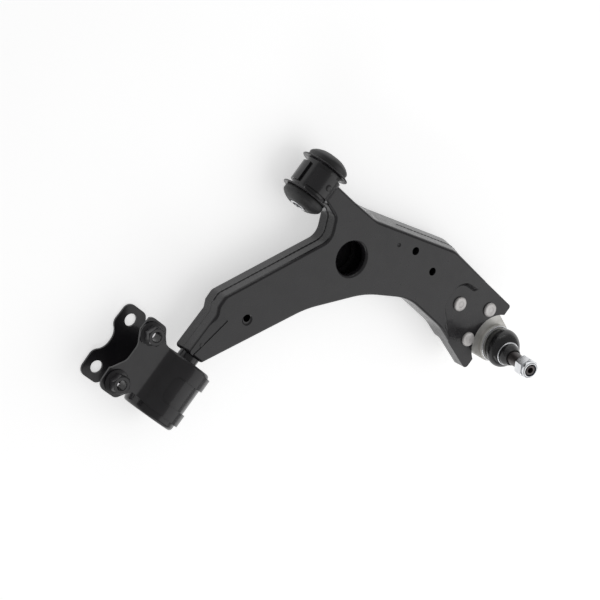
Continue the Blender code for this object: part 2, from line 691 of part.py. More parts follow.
housing = slab(
    "ball_joint_housing", flange_outline(), FLANGE_LOW_Z, FLANGE_TOP_Z, PALE_FORGING, collection=arm, steps=5
)
cup = turned(
    "housing_cup",
    [(0, HOUSING_BOTTOM_Z), (HOUSING_R - 0.0035, HOUSING_BOTTOM_Z),
     (HOUSING_R - 0.0015, HOUSING_BOTTOM_Z + 0.002), (HOUSING_R, FLANGE_LOW_Z - 0.001),
     (HOUSING_R, HOUSING_TOP_Z - 0.0035), (HOUSING_R - 0.0020, HOUSING_TOP_Z - 0.0020),
     (HOUSING_R - 0.0020, HOUSING_TOP_Z), (0, HOUSING_TOP_Z)],
    PALE_FORGING, (BX, BY, 0),
)
combine(housing, meshed(cup), "UNION")
SEAT_OUT_R = 0.0160
CAP_Z = HOUSING_BOTTOM_Z + 0.0015
ball_room = turned(
    "ball_room",
    [(0, HOUSING_BOTTOM_Z - 0.001), (SEAT_OUT_R + GAP, HOUSING_BOTTOM_Z - 0.001), (SEAT_OUT_R + GAP, 0.0100),
     (0.0135, 0.0122), (0.0165, HOUSING_TOP_Z + 0.001), (0, HOUSING_TOP_Z + 0.001)],
    PALE_FORGING, (BX, BY, 0), collection=cutters,
)
combine(housing, meshed(ball_room), "DIFFERENCE")
for number, (x, y) in enumerate(RIVETS, 1):
    hole = drill(f"flange_hole_{number}", x, y, RIVET_SHANK_R + GAP, -0.01, 0.02)
    combine(housing, meshed(hole), "DIFFERENCE")

turned(
    "ball_joint_cap",
    [(0, CAP_Z), (SEAT_OUT_R - 0.0010, CAP_Z), (SEAT_OUT_R, CAP_Z + 0.0010), (SEAT_OUT_R, CAP_Z + 0.0024),
     (0, CAP_Z + 0.0024)],
    PALE_FORGING, (BX, BY, 0),
)


def ball_seat():
    """The plastic liner: a cup round the ball, open at the top for the stud."""
    inner_r = BALL_R + GAP
    steps = 9
    low, high = radians(-82), radians(25)
    inside = []
    for k in range(steps + 1):
        angle = high + (low - high) * k / steps
        inside.append((inner_r * cos(angle), BALL.z + inner_r * sin(angle)))
    bottom_z = CAP_Z + 0.0024 + GAP
    outside = [(inside[-1][0], bottom_z), (SEAT_OUT_R - 0.0030, bottom_z), (SEAT_OUT_R, bottom_z + 0.0030),
               (SEAT_OUT_R, inside[0][1])]
    return turned("ball_seat", inside + outside, SEAT_PLASTIC, (BX, BY, 0))


ball_seat()

for number, (x, y) in enumerate(RIVETS, 1):
    top_z = FORK_TOP_Z + GAP
    low_z = FORK_BOTTOM_Z - GAP
    turned(
        f"rivet_{number}",
        [(0, top_z + RIVET_HEAD_H), (RIVET_HEAD_R - 0.0012, top_z + RIVET_HEAD_H),
         (RIVET_HEAD_R, top_z + RIVET_HEAD_H - 0.0010), (RIVET_HEAD_R, top_z), (RIVET_SHANK_R, top_z),
         (RIVET_SHANK_R, low_z), (RIVET_HEAD_R, low_z), (RIVET_HEAD_R - 0.0005, low_z - 0.0022),
         (RIVET_HEAD_R - 0.0030, low_z - 0.0040), (0, low_z - 0.0044)],
        RIVET_STEEL, (x, y, 0), steps=SMALL_ROUND,
    )

# ---------------------------------------------------------------- ball joint, pieces on the stud
BOOT_FOOT_Z = HOUSING_TOP_Z + GAP - BALL.z
BOOT_MIDDLE_Z = 0.0234
BOOT_NECK_Z = 0.0386
BOOT_FLATTEN = 0.80              # height of the bulge over its radius
BOOT_TOP_Z = 0.0500

STUD_TURN = Matrix.Rotation(-STUD_LEAN_BACK, 4, "Y") @ Matrix.Rotation(STUD_LEAN_REAR, 4, "X")


def ring(name, middle_r, wire_r, z, paint, steps=ROUND, sides=6):
    section = []
    for k in range(sides):
        angle = 2 * pi * k / sides
        section.append((middle_r + wire_r * cos(angle), z + wire_r * sin(angle)))
    return turned(name, section, paint, steps=steps)


NECK_R = 0.0085
TAPER_TOP_Z = 0.0660
STUD_END_Z = NUT_Z + NUT_H - 0.0006
KEY_R = 0.0034                   # key hole in the stud's end
neck_start = sqrt(BALL_R ** 2 - NECK_R ** 2)
ball_steps = 8
ball_profile = []
for k in range(ball_steps + 1):
    angle = -pi / 2 + (pi / 2 + radians(49.2)) * k / ball_steps
    radius = BALL_R * cos(angle) if k else 0
    ball_profile.append((radius, BALL_R * sin(angle)))
stud_profile = ball_profile + [
    (NECK_R - 0.0004, neck_start + 0.003), (NECK_R, 0.0300), (NECK_R, 0.0480),
    (THREAD_R + 0.0008, TAPER_TOP_Z), (THREAD_R - 0.0008, TAPER_TOP_Z + 0.0005),
    (THREAD_R - 0.0008, NUT_Z + 0.0005), (THREAD_R, NUT_Z + 0.0010),
    (THREAD_R, STUD_END_Z - 0.0010), (THREAD_R - 0.0010, STUD_END_Z),
    (KEY_R, STUD_END_Z), (KEY_R, STUD_END_Z - 0.0060), (0, STUD_END_Z - 0.0068),
]
stud = turned("ball_stud", stud_profile, DARK_STEEL)

INSERT_H = 0.0034
nut_bore = THREAD_R + 0.0003
lock_nut = chamfered_hex(
    "lock_nut", NUT_ACROSS_FLATS, NUT_Z, NUT_Z + NUT_H - 0.0045, nut_bore, 0, 0, ZINC,
)
COLLAR_R = NUT_ACROSS_FLATS / 2 * 0.93
INSERT_R = COLLAR_R - 0.0022
INSERT_TOP_Z = NUT_Z + NUT_H - 0.0012
collar = turned(
    "lock_nut_collar",
    [(nut_bore, NUT_Z + 0.004), (COLLAR_R, NUT_Z + 0.004), (COLLAR_R, NUT_Z + NUT_H - 0.0015),
     (COLLAR_R - 0.0018, NUT_Z + NUT_H), (COLLAR_R - 0.0026, NUT_Z + NUT_H),
     (INSERT_R, INSERT_TOP_Z), (INSERT_R, INSERT_TOP_Z - INSERT_H), (nut_bore, INSERT_TOP_Z - INSERT_H)],
    ZINC,
)
combine(lock_nut, meshed(collar), "UNION")
lock_nut = meshed(lock_nut)
nylon = turned(
    "nylon_insert",
    [(THREAD_R + GAP, INSERT_TOP_Z + GAP - INSERT_H), (INSERT_R - GAP, INSERT_TOP_Z + GAP - INSERT_H),
     (INSERT_R - GAP, INSERT_TOP_Z - GAP), (THREAD_R + GAP, INSERT_TOP_Z - GAP)],
    NYLON,
)
neck_ring = ring("boot_neck_ring", 0.0136, 0.0009, BOOT_NECK_Z, ZINC)
for obj in (meshed(stud), lock_nut, meshed(nylon), meshed(neck_ring)):
    obj.matrix_world = Matrix.Translation(BALL) @ STUD_TURN

clamp = ring("boot_clamp_ring", HOUSING_R - 0.0010, 0.0008, HOUSING_TOP_Z - 0.0009, ZINC)
clamp.location = (BX, BY, 0)


# ---------------------------------------------------------------- boot: a bellows that leans with the stud
def boot_profile():
    """Section up the outside and back down the inside, with heights from the ball's centre."""
    outside = [(0.0192, BOOT_FOOT_Z)]
    steps = 7
    inner_r = BOOT_R - BOOT_WALL
    low = radians(-26)
    high = radians(50)
    for k in range(steps + 1):
        angle = low + (high - low) * k / steps
        outside.append((BOOT_R * cos(angle), BOOT_MIDDLE_Z + BOOT_R * sin(angle) * BOOT_FLATTEN))
    outside += [
        (0.0123, BOOT_NECK_Z - 0.0012), (0.0123, BOOT_NECK_Z + 0.0012), (0.0130, BOOT_NECK_Z + 0.0024),
        (0.0122, 0.0440), (0.0108, 0.0478), (0.0101, BOOT_TOP_Z),
    ]
    inside = [(NECK_R + 0.0006, BOOT_TOP_Z), (NECK_R + 0.0006, 0.0460), (0.0104, 0.0430), (0.0104, 0.0390),
              (0.0116, 0.0350)]
    for k in range(steps + 1):
        angle = high - radians(4) + (low - high + radians(4)) * k / steps
        inside.append((inner_r * cos(angle), BOOT_MIDDLE_Z + inner_r * sin(angle) * BOOT_FLATTEN))
    inside += [(0.0174, BOOT_FOOT_Z)]
    return outside + inside


def lean(point):
    """Where a point of the upright boot goes: still at the foot, turned with the stud from the neck up."""
    share = min(max((point.z - BOOT_FOOT_Z) / (BOOT_NECK_Z - BOOT_FOOT_Z), 0), 1)
    share = share * share * (3 - 2 * share)
    turn = Matrix.Rotation(-STUD_LEAN_BACK * share, 4, "Y") @ Matrix.Rotation(STUD_LEAN_REAR * share, 4, "X")
    return BALL + turn @ point


boot = meshed(turned("boot", boot_profile(), RUBBER))
for vertex in boot.data.vertices:
    vertex.co = lean(vertex.co)

# ---------------------------------------------------------------- everything onto the bottom-centre origin
bpy.context.view_layer.update()
frame = bpy.data.objects.new("arm_frame", None)
arm.objects.link(frame)
for obj in list(arm.objects) + list(cutters.objects):
    if obj is not frame:
        obj.parent = frame
frame.location = ORIGIN
for obj in arm.objects:
    if obj.type == "MESH":
        obj.data.shade_smooth()
        obj.data.set_sharp_from_angle(angle=radians(35))
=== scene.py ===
"""Looks of the control arm: pressed shells, bushes, bracket and ball joint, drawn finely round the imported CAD."""

from math import cos, pi, radians, sin, sqrt, tan

import bmesh
import bpy
from mathutils import Matrix, Vector


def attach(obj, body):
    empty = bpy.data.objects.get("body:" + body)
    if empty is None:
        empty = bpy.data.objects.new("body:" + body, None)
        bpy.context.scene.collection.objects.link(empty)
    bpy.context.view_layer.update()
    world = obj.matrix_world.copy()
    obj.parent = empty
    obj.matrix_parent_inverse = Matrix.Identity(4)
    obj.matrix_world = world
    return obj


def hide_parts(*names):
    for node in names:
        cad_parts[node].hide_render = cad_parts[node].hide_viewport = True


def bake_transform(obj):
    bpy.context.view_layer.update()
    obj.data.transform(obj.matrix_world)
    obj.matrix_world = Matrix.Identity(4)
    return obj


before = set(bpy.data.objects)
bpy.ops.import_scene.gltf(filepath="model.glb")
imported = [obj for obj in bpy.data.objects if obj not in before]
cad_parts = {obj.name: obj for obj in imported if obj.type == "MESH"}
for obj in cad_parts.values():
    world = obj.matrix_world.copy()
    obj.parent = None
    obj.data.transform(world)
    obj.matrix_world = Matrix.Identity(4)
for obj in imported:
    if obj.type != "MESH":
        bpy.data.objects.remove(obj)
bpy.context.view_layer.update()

# ---------------------------------------------------------------- sizes, in metres about the swing axis
ORIGIN = Vector((-0.1441, 0.12355, 0.0328))
SHEET = 0.003
TOP_Z, BOTTOM_Z = 0.015, -0.016
FORK_TOP_Z, FORK_BOTTOM_Z = 0.010, -0.006
SPLAY = 0.0095
BIG_HOLE, BIG_HOLE_R = (0.089, -0.038), 0.0188
TOOL_HOLES = ((0.1563, 0.0171), (0.1940, 0.0133))
REAR_HOLE = (0.0220, -0.1590)
BALL = Vector((0.345, 0.004, 0.002))
RIVETS = ((0.2610, 0.0090), (0.3055, 0.0285), (0.3035, -0.0150))
REAR_Y, BUSH_Y = -0.2610, -0.2660
STRAP_IN_R, STRAP_T = 0.0303, 0.0025
LEG_TOP_Z, LEG_END_X, LEG_EAR_END = 0.014, -0.0805, 0.0440
BOLT_X, BOLT_PITCH = -0.0645, 0.059
STUD_TURN = Matrix.Rotation(radians(-4.0), 4, "Y") @ Matrix.Rotation(radians(8.0), 4, "X")
FINE = 96


# ---------------------------------------------------------------- shaping tools
def finish_mesh(name, bm, body=None, sharp=35, where=None, nodes=(), paint=None):
    bmesh.ops.remove_doubles(bm, verts=bm.verts, dist=1e-6)
    bmesh.ops.recalc_face_normals(bm, faces=bm.faces)
    mesh = bpy.data.meshes.new(name)
    if where is not None:
        bm.transform(where)
    bm.to_mesh(mesh)
    bm.free()
    obj = bpy.data.objects.new(name, mesh)
    bpy.context.scene.collection.objects.link(obj)
    return dress(obj, body, sharp, nodes, paint)


def dress(obj, body=None, sharp=35, nodes=(), paint=None):
    obj.data.shade_smooth()
    obj.data.set_sharp_from_angle(angle=radians(sharp))
    weigh(obj)
    if paint:
        obj.data.materials.clear()
        obj.data.materials.append(paint)
    if body:
        obj.data.transform(Matrix.Translation(ORIGIN))
        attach(obj, body)
    if nodes:
        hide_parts(*nodes)
    return obj


def rounded(corners, steps=10):
    """A closed outline from (x, y, radius) corners."""
    points = []
    for i, (x, y, radius) in enumerate(corners):
        here = Vector((x, y))
        back = Vector(corners[i - 1][:2]) - here
        ahead = Vector(corners[(i + 1) % len(corners)][:2]) - here
        if radius == 0:
            points.append(here)
            continue
        half = back.angle(ahead) / 2
        middle = here + (back.normalized() + ahead.normalized()).normalized() * (radius / sin(half))
        start = here + back.normalized() * (radius / tan(half)) - middle
        sweep = pi - 2 * half
        if back.x * ahead.y - back.y * ahead.x > 0:
            sweep = -sweep
        for k in range(steps + 1):
            points.append(middle + Matrix.Rotation(sweep * k / steps, 2) @ start)
    return points


def inset(corners, distance):
    """The corners moved in by distance, square to the edges; outwards where it is negative."""
    moved = []
    count = len(corners)
    area = sum(a[0] * b[1] - b[0] * a[1] for a, b in zip(corners, corners[1:] + corners[:1]))
    side = 1 if area > 0 else -1
    for i, (x, y, radius) in enumerate(corners):
        here = Vector((x, y))
        into = (here - Vector(corners[i - 1][:2])).normalized()
        out = (Vector(corners[(i + 1) % count][:2]) - here).normalized()
        normal_in = Vector((-into.y, into.x)) * side
        normal_out = Vector((-out.y, out.x)) * side
        shift = (normal_in + normal_out) * (distance / (1 + normal_in.dot(normal_out)))
        convex = (into.x * out.y - into.y * out.x) * side > 0
        new_radius = radius
        if radius > 0:
            new_radius = max(radius - distance, 0.0004) if convex else max(radius + distance, 0.0004)
        moved.append((x + shift.x, y + shift.y, new_radius))
    return moved


def stack(rings):
    """A closed solid through outlines of one point count, each given as (points, z)."""
    bm = bmesh.new()
    loops = [[bm.verts.new((p[0], p[1], z)) for p in points] for points, z in rings]
    for low, high in zip(loops, loops[1:]):
        count = len(low)
        for i in range(count):
            bm.faces.new((low[i], low[(i + 1) % count], high[(i + 1) % count], high[i]))
    caps = [bm.faces.new(loops[0][::-1]), bm.faces.new(loops[-1])]
    bm.normal_update()
    bmesh.ops.triangulate(bm, faces=caps)
    return bm


def spun(profile, steps=FINE, where=(0, 0, 0), along="Z"):
    """A turned solid from (radius, height) points, closed unless it ends on the axis."""
    bm = bmesh.new()
    verts = [bm.verts.new((r, 0, z)) for r, z in profile]
    edges = [bm.edges.new(pair) for pair in zip(verts, verts[1:])]
    if profile[0][0] > 0 or profile[-1][0] > 0:
        edges.append(bm.edges.new((verts[-1], verts[0])))
    bmesh.ops.spin(
        bm, geom=verts + edges, cent=(0, 0, 0), axis=(0, 0, 1), angle=2 * pi, steps=steps, use_merge=True
    )
    bmesh.ops.remove_doubles(bm, verts=bm.verts, dist=1e-6)
    turn = Matrix.Rotation(-pi / 2, 4, "X") if along == "Y" else Matrix.Identity(4)
    bm.transform(Matrix.Translation(where) @ turn)
    return bm


def extruded(points, direction):
    """A solid from a flat rim of 3-D points pushed along a direction."""
    bm = bmesh.new()
    face = bm.faces.new([bm.verts.new(p) for p in points])
    moved = bmesh.ops.extrude_face_region(bm, geom=[face])["geom"]
    bmesh.ops.translate(bm, verts=[v for v in moved if isinstance(v, bmesh.types.BMVert)], vec=direction)
    bm.normal_update()
    bmesh.ops.triangulate(bm, faces=[f for f in bm.faces if len(f.verts) > 4])
    return bm


def smooth_profile(points, radius=0.0006, steps=4):
    """The profile with each inner corner rounded to at most radius."""
    rounded_points = [points[0]]
    for before, here, after in zip(points, points[1:], points[2:]):
        a, b, c = Vector(before), Vector(here), Vector(after)
        reach = min(radius, (a - b).length * 0.45, (c - b).length * 0.45)
        start, end = b + (a - b).normalized() * reach, b + (c - b).normalized() * reach
        for k in range(steps + 1):
            t = k / steps
            rounded_points.append(tuple(start * (1 - t) ** 2 + b * 2 * t * (1 - t) + end * t * t))
    rounded_points.append(points[-1])
    return rounded_points


def loose(name, bm):
    bmesh.ops.recalc_face_normals(bm, faces=bm.faces)
    mesh = bpy.data.meshes.new(name)
    bm.to_mesh(mesh)
    bm.free()
    obj = bpy.data.objects.new(name, mesh)
    bpy.context.scene.collection.objects.link(obj)
    return obj


def carved(name, bm, *steps, bevel=0):
    """The solid with Boolean steps done in order, each (operation, bmesh)."""
    obj = loose(name, bm)
    tools = []
    for operation, tool_bm in steps:
        tool = loose(name + "_tool", tool_bm)
        boolean = obj.modifiers.new("cut", "BOOLEAN")
        boolean.operation = operation
        boolean.solver = "EXACT"
        boolean.object = tool
        tools.append(tool)
    if bevel:
        edge = obj.modifiers.new("edge", "BEVEL")
        edge.width = bevel
        edge.segments = 2
        edge.limit_method = "ANGLE"
        edge.angle_limit = radians(50)
    bpy.context.view_layer.update()
    graph = bpy.context.evaluated_depsgraph_get()
    mesh = bpy.data.meshes.new_from_object(obj.evaluated_get(graph))
    for old in [obj] + tools:
        bpy.data.objects.remove(old, do_unlink=True)
    made = bpy.data.objects.new(name, mesh)
    bpy.context.scene.collection.objects.link(made)
    return made


def weigh(obj):
    """Flat faces keep flat shading and rounded edges blend into them."""
    weighted = obj.modifiers.new("normals", "WEIGHTED_NORMAL")
    weighted.keep_sharp = True
    bpy.context.view_layer.update()
    graph = bpy.context.evaluated_depsgraph_get()
    mesh = bpy.data.meshes.new_from_object(obj.evaluated_get(graph))
    obj.modifiers.clear()
    obj.data = mesh


def drill(x, y, radius, low, high, steps=48):
    return spun([(0, low), (radius, low), (radius, high), (0, high)], steps, (x, y, 0))


# ---------------------------------------------------------------- materials
def base_material(name):
    made = bpy.data.materials.new(name)
    made.use_nodes = True
    tree = made.node_tree
    return made, tree, tree.nodes["Principled BSDF"]


def noise(tree, scale, detail=4.0, rough=0.55):
    coords = tree.nodes.new("ShaderNodeTexCoord")
    tex = tree.nodes.new("ShaderNodeTexNoise")
    tex.inputs["Scale"].default_value = scale
    tex.inputs["Detail"].default_value = detail
    tex.inputs["Roughness"].default_value = rough
    tree.links.new(coords.outputs["Object"], tex.inputs["Vector"])
    return tex.outputs["Fac"]


def ramp(tree, source, low, high, low_at=0.35, high_at=0.65):
    node = tree.nodes.new("ShaderNodeValToRGB")
    first, last = node.color_ramp.elements
    first.position, last.position = low_at, high_at
    first.color = (*low, 1) if isinstance(low, tuple) else (low, low, low, 1)
    last.color = (*high, 1) if isinstance(high, tuple) else (high, high, high, 1)
    tree.links.new(source, node.inputs["Fac"])
    return node.outputs["Color"]


def bump(tree, shader, source, strength, distance):
    node = tree.nodes.new("ShaderNodeBump")
    node.inputs["Strength"].default_value = strength
    node.inputs["Distance"].default_value = distance
    tree.links.new(source, node.inputs["Height"])
    tree.links.new(node.outputs["Normal"], shader.inputs["Normal"])


def finish_of(name, dark, light, rough_low, rough_high, metallic=0.0, grain=900.0, bump_height=0.00002,
              bump_strength=0.25, patch=35.0, coat=0.0, coat_rough=0.1, specular=0.5, ripple=0.0):
    """Two tones in soft patches, roughness that drifts, a fine grain, and ripple metres of slow waves."""
    made, tree, shader = base_material(name)
    patches = noise(tree, patch, 5.0, 0.6)
    tree.links.new(ramp(tree, patches, dark, light), shader.inputs["Base Color"])
    worn = noise(tree, patch * 3.1, 6.0, 0.65)
    tree.links.new(ramp(tree, worn, rough_low, rough_high), shader.inputs["Roughness"])
    shader.inputs["Metallic"].default_value = metallic
    shader.inputs["Coat Weight"].default_value = coat
    shader.inputs["Coat Roughness"].default_value = coat_rough
    shader.inputs["Specular IOR Level"].default_value = specular
    bump(tree, shader, noise(tree, grain, 3.0, 0.5), bump_strength, bump_height)
    if ripple:
        waves = tree.nodes.new("ShaderNodeBump")
        waves.inputs["Strength"].default_value = 0.5
        waves.inputs["Distance"].default_value = ripple
        tree.links.new(noise(tree, 60.0, 2.0, 0.5), waves.inputs["Height"])
        tree.links.new(waves.outputs["Normal"], shader.inputs["Coat Normal"])
    return made


arm_paint = finish_of("satin_black_paint", (0.013, 0.012, 0.014), (0.019, 0.018, 0.020), 0.24, 0.34,
                      grain=1400, bump_strength=0.10, coat=0.35, coat_rough=0.08, specular=0.3, ripple=0.0006)
bracket_paint = finish_of("bracket_black_paint", (0.012, 0.011, 0.013), (0.018, 0.017, 0.019), 0.28, 0.38,
                          grain=1200, bump_strength=0.10, coat=0.35, coat_rough=0.10, specular=0.3, ripple=0.0003)
pale_forging = finish_of("pale_forging", (0.56, 0.55, 0.52), (0.72, 0.71, 0.68), 0.34, 0.46, metallic=0.55,
                         grain=700, bump_strength=0.3, patch=60)
rivet_steel = finish_of("pale_rivet_steel", (0.60, 0.58, 0.57), (0.74, 0.72, 0.71), 0.36, 0.48, metallic=0.5,
                        grain=900, bump_strength=0.2, patch=90)
zinc = finish_of("bright_zinc", (0.66, 0.67, 0.69), (0.84, 0.85, 0.87), 0.16, 0.26, metallic=1.0, grain=1200,
                 bump_strength=0.1, patch=80)
dark_steel = finish_of("oiled_dark_steel", (0.05, 0.045, 0.045), (0.11, 0.10, 0.10), 0.28, 0.42, metallic=0.8,
                       grain=900, bump_strength=0.2, patch=70)
rubber = finish_of("bush_rubber", (0.016, 0.016, 0.017), (0.026, 0.026, 0.027), 0.42, 0.56, grain=1600,
                   bump_strength=0.3, patch=50)
boot_rubber = finish_of("boot_rubber", (0.010, 0.010, 0.011), (0.016, 0.016, 0.017), 0.20, 0.30, grain=1600,
                        bump_strength=0.08, patch=40)
nylon = finish_of("blue_nylon", (0.010, 0.030, 0.060), (0.016, 0.045, 0.085), 0.30, 0.40, grain=1400,
                  bump_strength=0.1, patch=120)
seat_plastic = finish_of("seat_plastic", (0.62, 0.60, 0.54), (0.74, 0.72, 0.66), 0.35, 0.45, grain=1200,
                         bump_strength=0.1, patch=100)


# ---------------------------------------------------------------- the shells
def arm_corners(splay):
    return [
        (-0.0130, -0.2250, 0.004),
        (0.0085, -0.2250, 0.004),
        (0.0793, -0.1117, 0.120),
        (0.1344, -0.0566, 0.118),
        (0.1891, -0.0275, 0.074),
        (0.2540, -0.0275, 0.072),
        (0.3290, -0.0440, 0.005),
        (0.3310, 0.0495, 0.0035),
        (0.2600, 0.0490 + 0.2 * splay, 0.040),
        (0.2070, 0.0490 + splay, 0.035),
        (0.0880, 0.0115 + splay, 0.040),
        (0.0500, 0.0105, 0.010),
        (0.0140, 0.0105, 0),
        (0.0140, -0.0100, 0),
        (0.0390, -0.0160, 0.009),
        (0.0510, -0.0380, 0.018),
        (-0.0170, -0.1560, 0.010),
        (-0.0165, -0.1680, 0.004),
        (-0.0120, -0.1760, 0.005),
    ]


JOGGLE_EDGE = [
    (0.4000, 0.0800, 0),
    (0.2760, 0.0800, 0),
    (0.2700, 0.0330, 0.006),
    (0.2410, 0.0300, 0.016),
    (0.2400, -0.0040, 0.016),
    (0.2780, -0.0300, 0.010),
    (0.2900, -0.0800, 0),
    (0.4000, -0.0800, 0),
]
FORK_HOLLOW = [
    (0.2290, -0.0240, 0),
    (0.2545, -0.0240, 0),
    (0.3290, -0.0403, 0),
    (0.4000, -0.0403, 0),
    (0.4000, 0.0460, 0),
    (0.2290, 0.0460, 0),
]
STRIP_EDGE = [
    (0.0037, -0.1735, 0.001),
    (-0.0055, -0.1740, 0.001),
    (-0.0100, -0.1830, 0.001),
    (-0.0120, -0.1930, 0.001),
    (-0.0200, -0.1960, 0),
    (-0.0200, -0.2300, 0),
    (-0.0080, -0.2300, 0),
    (-0.0043, -0.2140, 0.001),
]


def shell(name, upper):
    """A drawn shell with rolled-over edges, the fork's step, a rolled lip, holes, and a tongue on the eye."""
    face_z, fork_z = (TOP_Z, FORK_TOP_Z) if upper else (BOTTOM_Z, FORK_BOTTOM_Z)
    out = 1 if upper else -1
    seam_z = out * 0.00015
    seam = arm_corners(SPLAY / 2)
    face = arm_corners(0 if upper else SPLAY)

    def ring(depth, z):
        share = (z - seam_z) / (face_z - seam_z)
        low, high = rounded(inset(seam, depth)), rounded(inset(face, depth))
        return [a.lerp(b, share) for a, b in zip(low, high)], z

    edge_r = 0.0034
    rings = [ring(0, seam_z), ring(0, face_z - out * edge_r)]
    for k in range(1, 7):
        angle = pi / 2 * k / 6
        rings.append(ring(edge_r * (1 - cos(angle)), face_z - out * edge_r * (1 - sin(angle))))
    body = stack(rings)

    step_rings = []
    reach = abs(face_z - fork_z)
    for k in range(11):
        t = k / 10
        bow = t * t * (3 - 2 * t)
        step_rings.append((rounded(inset(JOGGLE_EDGE, 0.0022 - 0.0050 * t)), fork_z + out * reach * bow))
    step_rings.append((rounded(inset(JOGGLE_EDGE, -0.0034)), face_z + out * 0.004))
    steps = [("DIFFERENCE", stack(step_rings))]

    floor_z = face_z - out * SHEET
    past_seam = -out * 0.002
    hollow = loose("hollow", stack([
        (rounded(inset(seam, SHEET)), past_seam), (rounded(inset(face, SHEET)), floor_z)]))
    wall = loose("hollow_wall", stack([(rounded(inset(JOGGLE_EDGE, -SHEET)), -0.03), (rounded(inset(JOGGLE_EDGE, -SHEET)), 0.03)]))
    fork = loose("fork_hollow", stack([
        (rounded(FORK_HOLLOW), past_seam), (rounded(FORK_HOLLOW), fork_z - out * SHEET)]))
    for operation, tool in (("DIFFERENCE", wall), ("UNION", fork)):
        boolean = hollow.modifiers.new("cut", "BOOLEAN")
        boolean.operation, boolean.solver, boolean.object = operation, "EXACT", tool
    bpy.context.view_layer.update()
    hollow_bm = bmesh.new()
    hollow_bm.from_mesh(hollow.evaluated_get(bpy.context.evaluated_depsgraph_get()).to_mesh())
    bmesh.ops.triangulate(hollow_bm, faces=hollow_bm.faces)
    for old in (hollow, wall, fork):
        bpy.data.objects.remove(old, do_unlink=True)
    steps.append(("DIFFERENCE", hollow_bm))

    lip_end = face_z - out * 0.0075
    lip_r = BIG_HOLE_R + SHEET
    steps.append(("UNION", spun([(0, face_z - out * 0.0005), (lip_r, face_z - out * 0.0005), (lip_r, lip_end), (0, lip_end)], 76, (*BIG_HOLE, 0))))
    wrap = (31, 142) if upper else (-190, -33)
    rim = []
    arc = 40
    for radius, order in ((0.0198, range(arc + 1)), (0.0235, range(arc, -1, -1))):
        for k in order:
            angle = radians(wrap[0] + (wrap[1] - wrap[0]) * k / arc)
            rim.append((radius * cos(angle), -0.0115, radius * sin(angle)))
    steps.append(("UNION", extruded(rim, (0, 0.023, 0))))

    beyond = face_z + out * 0.001
    mouth = [(0, -out * 0.001), (BIG_HOLE_R, -out * 0.001), (BIG_HOLE_R, face_z - out * 0.0048)]
    for k in range(1, 9):
        angle = pi / 2 * k / 8
        mouth.append((BIG_HOLE_R + 0.0036 * (1 - cos(angle)), face_z - out * 0.0046 * (1 - sin(angle)) + out * 0.00002))
    mouth += [(BIG_HOLE_R + 0.0042, beyond), (0, beyond)]
    steps.append(("DIFFERENCE", spun(mouth, FINE, (*BIG_HOLE, 0))))
    low, high = (-0.001, 0.030) if upper else (-0.030, 0.001)
    for x, y in TOOL_HOLES:
        steps.append(("DIFFERENCE", drill(x, y, 0.0047, low, high)))
    steps.append(("DIFFERENCE", drill(*REAR_HOLE, 0.0042, low, high)))
    for x, y in RIVETS:
        steps.append(("DIFFERENCE", drill(x, y, 0.0058, low, high)))
    steps.append(("DIFFERENCE", drill(0.3456, 0.0034, 0.036, low, high, 128)))
    steps.append(("DIFFERENCE", spun([(0, -0.03), (0.0207, -0.03), (0.0207, 0.03), (0, 0.03)], FINE, along="Y")))
    steps.append(("DIFFERENCE", spun([(0, -0.24), (0.0119, -0.24), (0.0119, -0.17), (0, -0.17)], 48, along="Y")))
    if upper:
        strip = rounded(STRIP_EDGE)
        steps.append(("DIFFERENCE", stack([(strip, TOP_Z - 0.0009), (strip, TOP_Z + 0.002)])))
        for x, y, radius, rise in ((0.0020, -0.0005, 0.0036, 0.0010), (-0.0050, -0.2100, 0.0034, 0.0008)):
            base = 0.0234 if y > -0.1 else TOP_Z - 0.0012
            dome = [(0, base - 0.0006), (radius, base - 0.0006), (radius, base + 0.0002), (radius * 0.7, base + rise * 0.8),
                    (radius * 0.35, base + rise), (0, base + rise)]
            steps.append(("UNION", spun(dome, 32, (x, y, 0))))
        dish = [(0, TOP_Z - 0.0014), (0.0045, TOP_Z - 0.0013), (0.0066, TOP_Z + 0.0002), (0.0066, TOP_Z + 0.001), (0, TOP_Z + 0.001)]
        steps.append(("DIFFERENCE", spun(dish, 48, (0.0228, -0.1603, 0))))
        small = [(0, TOP_Z - 0.0012), (0.0014, TOP_Z - 0.0009), (0.0027, TOP_Z + 0.0001), (0.0027, TOP_Z + 0.001), (0, TOP_Z + 0.001)]
        steps.append(("DIFFERENCE", spun(small, 32, (0.1318, 0.0092, 0))))
    return carved(name, body, *steps)


upper = dress(shell("upper_shell_pressing", True), "arm", 30, ["upper_shell"], arm_paint)
lower = dress(shell("lower_shell_pressing", False), "arm", 30, ["lower_shell"], arm_paint)


def bead(name, points, radius, paint, lumps=0.15):
    """A weld bead along a line of points, lumpy at its own pitch."""
    bm = bmesh.new()
    rings = []
    for i, point in enumerate(points):
        ahead = Vector(points[min(i + 1, len(points) - 1)])
        behind = Vector(points[max(i - 1, 0)])
        run = (ahead - behind).normalized()
        side = run.cross(Vector((0, 0, 1)))
        side = side.normalized() if side.length > 0.1 else Vector((1, 0, 0))
        up = side.cross(run)
        size = radius * (1 + lumps * sin(i * 1.9)) * (0.3 if i in (0, len(points) - 1) else 1)
        rings.append([bm.verts.new(Vector(point) + (side * cos(a) + up * sin(a)) * size)
                      for a in (2 * pi * k / 10 for k in range(10))])
    for low, high in zip(rings, rings[1:]):
        for k in range(10):
            bm.faces.new((low[k], low[(k + 1) % 10], high[(k + 1) % 10], high[k]))
    bm.faces.new(rings[0])
    bm.faces.new(rings[-1])
    return finish_mesh(name, bm, "arm", 60, paint=paint)


